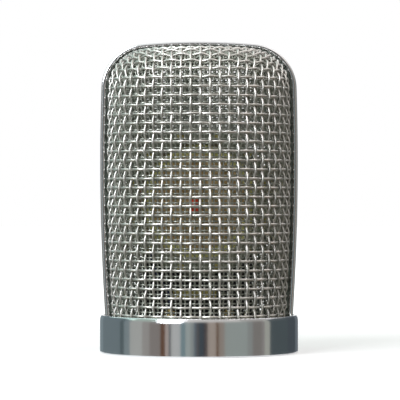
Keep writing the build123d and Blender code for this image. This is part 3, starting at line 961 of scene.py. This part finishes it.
@dataclass
class Grille(SubAssembly):
    """The lift-off grille: woven cloth in two layers on the chromed ring and hoop.

    All sizes in millimetres.
    """

    body: Body = Body.GRILLE
    height: float = 72.0
    half_width: float = 22.87
    hoop_side: float = 1.15
    hoop_crown: float = 0.8
    hoop_width: float = 4.0
    hoop_foot: float = 5.0
    hoop_squareness: float = 16.0
    outer_side: float = 1.4
    outer_crown: float = 0.95
    outer_wire: float = 0.55
    outer_across: float = 2.215
    outer_up: float = 2.085
    outer_level: float = 44.45
    inner_wire: float = 0.4
    inner_across: float = 1.09
    inner_up: float = 1.035
    inner_level: float = 44.05
    layer_gap: float = 0.1
    foot: float = 5.65
    edge: float = 0.22
    hoop_steps: int = 12

    def __post_init__(self) -> None:
        """Lists the finishes of the grille's CAD nodes."""
        self.finishes = {
            CHROME: ("base_ring",),
            SOLDER: ("spine",),
            NICKEL_TURNED: (*both("seat_arc"), *both("clamp_arc")),
            BLACK_STEEL: ("grub_screws",),
        }

    def hoop(self) -> bpy.types.Object:
        """Bends the hoop, a strip with a crowned section, over the head.

        Along the hoop run three arcs and their mirror image. At each place on them the section is
        |u/a|^2 + |v/b|^n = 1, where u runs from the hoop's inside to its outside, v runs across it,
        a and b are half its thickness and half its width, and n is its squareness.

        Returns:
            The piece.
        """
        outer_face = HeadSurface(0.0, 0.0, self.height, self.half_width)
        inner_face = replace(outer_face, side_inset=self.hoop_side, crown_inset=self.hoop_crown)
        outside, inside = outer_face.outline(self.hoop_foot), inner_face.outline(self.hoop_foot)
        middle, half = (outside + inside) / 2, (outside - inside) / 2
        turn = pi / 2 * np.sin(pi / 2 * np.linspace(0.0, 1.0, self.hoop_steps))
        turn = np.concatenate([turn, pi - turn[-2::-1], pi + turn[1:], 2 * pi - turn[-2:0:-1]])
        u = np.cos(turn)
        v = np.sign(np.sin(turn)) * np.abs(np.sin(turn)) ** (2 / self.hoop_squareness)
        flat = middle[:, None] + u[None, :, None] * half[:, None]
        across = np.broadcast_to(v * self.hoop_width / 2, flat.shape[:2])
        points = np.stack([flat[..., 0], across, flat[..., 1]], -1)
        count, corners = points.shape[:2]
        numbers = np.arange(count * corners).reshape(count, corners)
        here, there = numbers[:-1], numbers[1:]
        walls = np.stack([here, there, np.roll(there, -1, 1), np.roll(here, -1, 1)], -1)
        caps = np.stack([numbers[0], numbers[-1, ::-1]])
        return Facets(points.reshape(-1, 3) * MM, [walls.reshape(-1, 4), caps]).build("crowned_hoop")

    def outer_cloth(self, side: Side) -> WovenCloth:
        """The coarse outer cloth of one half, each cut from the roll where it came."""
        outside = HeadSurface(self.outer_side, self.outer_crown, self.height, self.half_width)
        return WovenCloth(
            outside.inside(self.outer_wire), self.outer_wire, self.outer_across, self.outer_up,
            middle=0.3 if side is Side.FRONT else 0.81, level=self.outer_level,
            foot=self.foot, edge=self.edge + self.outer_wire / 2,
        )

    def inner_cloth(self, side: Side) -> WovenCloth:
        """The fine inner cloth of one half, about half the outer's pitch."""
        outside = HeadSurface(self.outer_side, self.outer_crown, self.height, self.half_width)
        depth = 2 * self.outer_wire + self.layer_gap + self.inner_wire
        return WovenCloth(
            outside.inside(depth), self.inner_wire, self.inner_across, self.inner_up,
            middle=0.1 if side is Side.FRONT else 0.445, level=self.inner_level,
            foot=self.foot, edge=self.edge + self.inner_wire / 2, rings_per_cell=4, corners=5,
            unevenness=0.02, seed=23,
        )

    def build(self) -> None:
        """Weaves both layers of both halves and dresses the rest."""
        self.dress()
        hoop = self.hoop()
        self.hang(hoop, "hoop", CHROME, "polished_chrome")
        for side in Side:
            outer, inner = self.outer_cloth(side), self.inner_cloth(side)
            cloth = outer.build(f"outer_cloth_{side.word}", side, ("upright", "level"))
            self.hang(cloth, f"outer_mesh_{side.word}", OUTER_WIRE, "satin_nickel_wire")
            for family in ("upright", "level"):
                wires = inner.build(f"inner_{family}_wires_{side.word}", side, (family,))
                # The inner wires' duller, greener colour is painted shade.
                self.hang(wires, f"inner_mesh_{side.word}", SHADED_INNER_WIRE, "satin_nickel_wire")


@dataclass
class Capsule(SubAssembly):
    """The dual-diaphragm capsule in its saddle."""

    def __post_init__(self) -> None:
        """Lists the finishes of the capsule's CAD nodes."""
        self.finishes = {
            NICKEL_RING: both("tension_ring"),
            BRASS_TURNED: both("backplate"),
            BRASS: (*both("rim_screws"), *both("centre_terminal"), "terminal_bar", "bar_screws"),
            GOLD_FILM: both("diaphragm"),
            GOLD_PLATE: both("terminal_washer"),
            INSULATOR: ("backplate_spacer", *both("centre_bush")),
            RED_SLEEVE: both("lead_sleeve"),
            BLACK_MOULDING: ("saddle",),
            RUBBER: ("cradle_pads",),
            STEEL: ("saddle_screws", "capsule_screws"),
            TINNED_LEAD: ("front_lead", "link_lead", "rear_lead"),
            BLUE_LEAD: ("polarising_lead",),
        }

    def build(self) -> None:
        """Dresses the capsule."""
        self.dress()


@dataclass
class Carrier(SubAssembly):
    """The carrier ring, its plate and the sprung contacts.

    All sizes in millimetres, and each contact's way round in degrees.
    """

    contacts: dict[str, float] = field(
        default_factory=lambda: {"left": 235.0, "right": 305.0, "rear": 90.0}
    )
    contact_circle: float = 11.5
    coil_radius: float = 0.725
    coil_wire: float = 0.2
    coil_turns: int = 5
    coil_steps: int = 16
    coil_corners: int = 8
    coil_foot: float = 6.64
    coil_head: float = 8.88
    cap: float = 9.0
    press: float = 1.1

    def __post_init__(self) -> None:
        """Lists the finishes of the carrier's CAD nodes."""
        pins = (f"contact_pin_{end}" for end in self.contacts)
        self.finishes = {
            NICKEL_TURNED: ("carrier_ring",),
            BLACK_MOULDING: ("insulator_plate",),
            STEEL: ("plate_screws",),
            GOLD_PLATE: ("contact_barrels", "contact_caps", *pins),
        }

    def coil(self, end: str) -> None:
        """Winds a contact's spring at one fixed length, from its foot to its head.

        Its middle line turns evenly about the pin while it rises evenly.

        Args:
            end: which contact it belongs to.
        """
        way = radians(self.contacts[end])
        pin = np.array([np.cos(way), np.sin(way)]) * self.contact_circle
        turn = np.linspace(0.0, 2 * pi * self.coil_turns, self.coil_steps * self.coil_turns + 1)
        out = np.stack([np.cos(turn), np.sin(turn), np.zeros_like(turn)], -1)
        rise = np.linspace(self.coil_foot, self.coil_head, len(turn))
        line = np.array([*pin, 0.0]) + self.coil_radius * out
        line[:, 2] += rise
        tube = Wires(line[None], out[None]).tubes(self.coil_wire / 2, self.coil_corners)
        piece = Facets(tube.points * MM, tube.faces).build(f"coil_spring_{end}")
        self.hang(piece, f"contact_spring_{end}", SPRING_STEEL, "spring_steel")
        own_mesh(piece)

    def build(self) -> None:
        """Dresses the carrier and winds its springs."""
        self.dress()
        for end in self.contacts:
            self.coil(end)


# ---- studio ------------------------------------------------------------------------------------


@dataclass(frozen=True)
class Lamp:
    """A rectangular soft box that faces the head from one metre away.

    Attributes:
        name: the lamp's name.
        turn: degrees round from straight in front, right positive.
        rise: degrees above level.
        width: in degrees, as the head sees it.
        height: in degrees, as the head sees it.
        glow: how many times brighter than white paper it looks.
        colour: sRGB hex of its light.
    """

    name: str
    turn: float
    rise: float
    width: float
    height: float
    glow: float
    colour: str = "#FFFFFF"

    def hang(self, target: tuple[float, float, float]) -> None:
        """Hangs the lamp and turns it to a target.

        Its power is its glow times pi times its area.

        Args:
            target: the place that it faces, in metres.
        """
        data = bpy.data.lights.new(self.name, "AREA")
        data.shape = "RECTANGLE"
        data.size, data.size_y = (2 * tan(radians(side / 2)) for side in (self.width, self.height))
        data.energy = self.glow * pi * data.size * data.size_y
        data.color = linear(self.colour)[:3]
        lamp = bpy.data.objects.new(self.name, data)
        turn, rise = radians(self.turn), radians(self.rise)
        way = np.array([sin(turn) * cos(rise), -cos(turn) * cos(rise), sin(rise)])
        lamp.location = np.array(target) + way
        lamp.rotation_euler = (pi / 2 - rise, 0.0, turn)
        bpy.context.scene.collection.objects.link(lamp)


@dataclass(frozen=True)
class Surround:
    """What the head mirrors at one level all round it.

    Attributes:
        bands: where each band of colour starts, in degrees from straight in front, right positive,
            and its sRGB hex.
        rise: degrees above level where it gives way to the next level up.
        fade: degrees over which it does.
    """

    bands: tuple[tuple[float, str], ...]
    rise: float = 90.0
    fade: float = 1.0

    def painted(
        self, tree: bpy.types.NodeTree, round_head: bpy.types.NodeSocket
    ) -> bpy.types.NodeSocket:
        """Paints the bands round the head.

        Args:
            tree: the room's tree.
            round_head: the way round, from zero straight behind, by the left, the front and
                the right, to one.

        Returns:
            The bands' colour.
        """
        bands = add_node(tree, "ValToRGB", inputs={"Fac": round_head})
        bands.color_ramp.interpolation = "CONSTANT"
        elements = bands.color_ramp.elements
        while len(elements) < len(self.bands):
            elements.new(1.0)
        for element, (degrees, hex_colour) in zip(elements, self.bands):
            element.position = (degrees + 180) / 360
            element.color = linear(hex_colour)
        return bands.outputs["Color"]


@dataclass
class Studio:
    """The camera, the floor, the lamps and the room that the metal mirrors."""

    eye: tuple[float, float, float] = (0.23 * MM, -650 * MM, 35.4 * MM)
    field_width: float = 92.8 * MM
    sensor: float = 36.0
    middle: tuple[float, float, float] = (0.0, 0.0, 36 * MM)
    lamps: tuple[Lamp, ...] = (
        Lamp("key_softbox", -34.5, 30.5, 27.0, 42.0, 9.2, "#F6FBFF"),
        Lamp("fill_softbox", 72.0, 52.0, 60.0, 40.0, 0.55, "#FFF3EA"),
        Lamp("left_softbox", -112.0, 50.0, 60.0, 60.0, 0.62, "#DCFFF0"),
        Lamp("right_softbox", 118.0, 50.0, 60.0, 60.0, 0.42, "#FFFAF6"),
        Lamp("top_softbox", 0.0, 75.0, 80.0, 40.0, 0.35),
        Lamp("back_softbox", 165.0, 50.0, 60.0, 40.0, 0.45),
    )
    # The floor, the bench, the walls with their doors, shelves and people, and the ceiling.
    surrounds: tuple[Surround, ...] = (
        Surround(((-180, "#94A49C"), (-110, "#9A8A70"), (-45, "#5A584C"), (60, "#8E705A"),
                  (125, "#84827C")),
                 -50.0, 20.0),
        Surround(((-180, "#6C7A76"), (-110, "#7C8274"), (-45, "#4A4C44"), (60, "#66645C"),
                  (125, "#5E5E5A")),
                 -9.0, 6.0),
        Surround(((-180, "#6B777B"), (-150, "#5D686B"), (-105, "#485355"), (-98, "#6A7577"),
                  (-88, "#90928E"), (-70, "#807E7A"), (-60, "#6E6965"),
                  (-45.2, "#4A2C16"), (-39.6, "#948A84"), (-35.4, "#42484A"), (-32.6, "#989A98"),
                  (-21.2, "#5C7074"), (-16, "#868E8B"), (-10.5, "#787E7C"), (-6.8, "#4C565E"),
                  (-3, "#4A4645"), (0, "#323C43"), (4.6, "#3C3637"), (8.8, "#8C837A"),
                  (18.6, "#503A28"), (22.2, "#7C746C"), (28.8, "#7F8682"), (57, "#757976"),
                  (64, "#6B6864"), (76, "#74716E"), (81, "#8C8E86"), (89, "#40484A"),
                  (125, "#3D4347"), (150, "#5A6065")),
                 20.0, 28.0),
        Surround(((-180, "#59646A"), (-92, "#8FA096"), (-50, "#B0AEAA"), (50, "#9A9894"),
                  (88, "#5C6062")),
                 55.0, 20.0),
        Surround(((-180, "#8F9492"), (-92, "#B0BEB8"), (-40, "#BABAB8"), (88, "#8A8C8C"))),
    )
    # The room is brighter than it is written by one over this share, for what plate doesn't give back.
    plate_share: float = 0.7
    # Metal mirrors the white backdrop this many degrees to each side of straight behind the head.
    backdrop: float = 10.0
    # Metal mirrors the pale floor this far out from the head's axis, and the bench past that.
    floor_mirrored: float = 26 * MM
    # The floor reaches this far each way. It gives back one share of the lamps' light and glows with
    # another near the head; between two distances from the axis the glow rises to full white.
    floor_reach: float = 3.0
    floor_share: float = 0.45
    floor_glow: float = 0.5
    floor_fade: tuple[float, float] = (0.05, 0.4)
    near_and_far: tuple[float, float] = (0.01, 20.0)

    def build(self) -> None:
        """Sets up the whole studio."""
        self.camera()
        self.world()
        self.floor()
        for lamp in self.lamps:
            lamp.hang(self.middle)
        settings = bpy.context.scene.view_settings
        settings.view_transform = "Standard"

    def camera(self) -> None:
        """Sets the camera level, in front of the head."""
        data = bpy.data.cameras.new("camera")
        data.sensor_width = self.sensor
        data.lens = self.sensor * -self.eye[1] / self.field_width
        data.clip_start, data.clip_end = self.near_and_far
        camera = bpy.data.objects.new("camera", data)
        camera.location = self.eye
        camera.rotation_euler = (pi / 2, 0.0, 0.0)
        bpy.context.scene.collection.objects.link(camera)
        bpy.context.scene.camera = camera

    def world(self) -> None:
        """Paints the room round the head and the white backdrop behind it.

        Metal and glass mirror both. The camera sees white all round, so that each view has a plain
        background.
        """
        world = bpy.data.worlds.new("room")
        bpy.context.scene.world = world
        world.use_nodes = True
        tree = world.node_tree
        tree.nodes.clear()
        way = add_node(tree, "TexCoord").outputs["Generated"]
        parts = add_node(tree, "SeparateXYZ", inputs={"Vector": way})
        ahead = add_node(tree, "Math", {"operation": "MULTIPLY"}, {0: parts.outputs["Y"], 1: -1.0})
        turn = add_node(
            tree,
            "Math",
            {"operation": "ARCTAN2"},
            {0: parts.outputs["X"], 1: ahead.outputs["Value"]},
        )
        round_head = add_node(
            tree,
            "MapRange",
            inputs={"Value": turn.outputs["Value"], "From Min": -pi, "From Max": pi},
        ).outputs["Result"]
        colour = self.surrounds[0].painted(tree, round_head)
        for below, surround in zip(self.surrounds, self.surrounds[1:]):
            start, stop = (sin(radians(below.rise + end * below.fade / 2)) for end in (-1, 1))
            rise = add_node(
                tree,
                "MapRange",
                {"interpolation_type": "SMOOTHSTEP"},
                {"Value": parts.outputs["Z"], "From Min": start, "From Max": stop},
            )
            mixed = add_node(
                tree,
                "Mix",
                {"data_type": "RGBA"},
                {0: rise.outputs["Result"], 6: colour, 7: surround.painted(tree, round_head)},
            )
            colour = mixed.outputs[2]
        room = add_node(
            tree, "Background", inputs={"Color": colour, "Strength": 1 / self.plate_share}
        )
        white = add_node(tree, "Background", inputs={"Color": grey(1.0)})
        path = add_node(tree, "LightPath")
        behind = add_node(
            tree,
            "Math",
            {"operation": "GREATER_THAN"},
            {0: parts.outputs["Y"], 1: cos(radians(self.backdrop))},
        )
        seen = add_node(
            tree,
            "Math",
            {"operation": "MULTIPLY_ADD"},
            {
                0: mirrored_rays(tree, path),
                1: behind.outputs[0],
                2: path.outputs["Is Camera Ray"],
            },
        )
        chosen = add_node(
            tree,
            "MixShader",
            inputs={0: seen.outputs[0], 1: room.outputs[0], 2: white.outputs[0]},
        )
        add_node(tree, "OutputWorld", inputs={"Surface": chosen.outputs[0]})

    def floor(self) -> None:
        """Lays a pale floor.

        Near the head half its white comes from the lamps, so that it keeps the head's shadow; from
        there out it runs on into the white backdrop. Metal and glass mirror it where it lies round
        the ring's foot, and the bench beyond that.
        """
        corners = self.floor_reach * np.array([[-1, -1, 0], [1, -1, 0], [1, 1, 0], [-1, 1, 0]])
        floor = Facets(corners, [np.array([[0, 1, 2, 3]])]).build("floor", smooth=False)
        material = bpy.data.materials.new("pale_floor")
        material.use_nodes = True
        tree = material.node_tree
        tree.nodes.clear()
        path = add_node(tree, "LightPath")
        mirrored = mirrored_rays(tree, path)
        matte = add_node(tree, "BsdfDiffuse", inputs={"Color": grey(self.floor_share)})
        place = add_node(tree, "TexCoord").outputs["Object"]
        away = add_node(tree, "VectorMath", {"operation": "LENGTH"}, {0: place}).outputs["Value"]
        near, far = self.floor_fade
        white = add_node(
            tree,
            "MapRange",
            {"interpolation_type": "SMOOTHSTEP"},
            {
                "Value": away,
                "From Min": near,
                "From Max": far,
                "To Min": self.floor_glow,
                "To Max": 1.0,
            },
        )
        seen = add_node(
            tree, "Math", {"operation": "MAXIMUM"}, {0: mirrored, 1: path.outputs["Is Camera Ray"]}
        )
        strength = add_node(
            tree, "Math", {"operation": "MULTIPLY"}, {0: white.outputs[0], 1: seen.outputs[0]}
        )
        glow = add_node(
            tree, "Emission", inputs={"Color": grey(1.0), "Strength": strength.outputs[0]}
        )
        both_lights = add_node(
            tree, "AddShader", inputs={0: matte.outputs[0], 1: glow.outputs[0]}
        )
        past = add_node(
            tree, "Math", {"operation": "GREATER_THAN"}, {0: away, 1: self.floor_mirrored}
        )
        bench = add_node(
            tree, "Math", {"operation": "MULTIPLY"}, {0: mirrored, 1: past.outputs[0]}
        )
        clear = add_node(tree, "BsdfTransparent")
        surface = add_node(
            tree,
            "MixShader",
            inputs={0: bench.outputs[0], 1: both_lights.outputs[0], 2: clear.outputs[0]},
        )
        add_node(tree, "OutputMaterial", inputs={"Surface": surface.outputs[0]})
        floor.data.materials.append(material)


def main() -> None:
    """Builds the studio and the sub-assemblies in order."""
    logging.basicConfig(level=logging.INFO, format="%(name)s: %(message)s")
    Studio().build()
    for assembly in (Grille(), Capsule(), Carrier()):
        assembly.build()
        log.info("%s built", type(assembly).__name__)


if __name__ == "__main__":
    main()
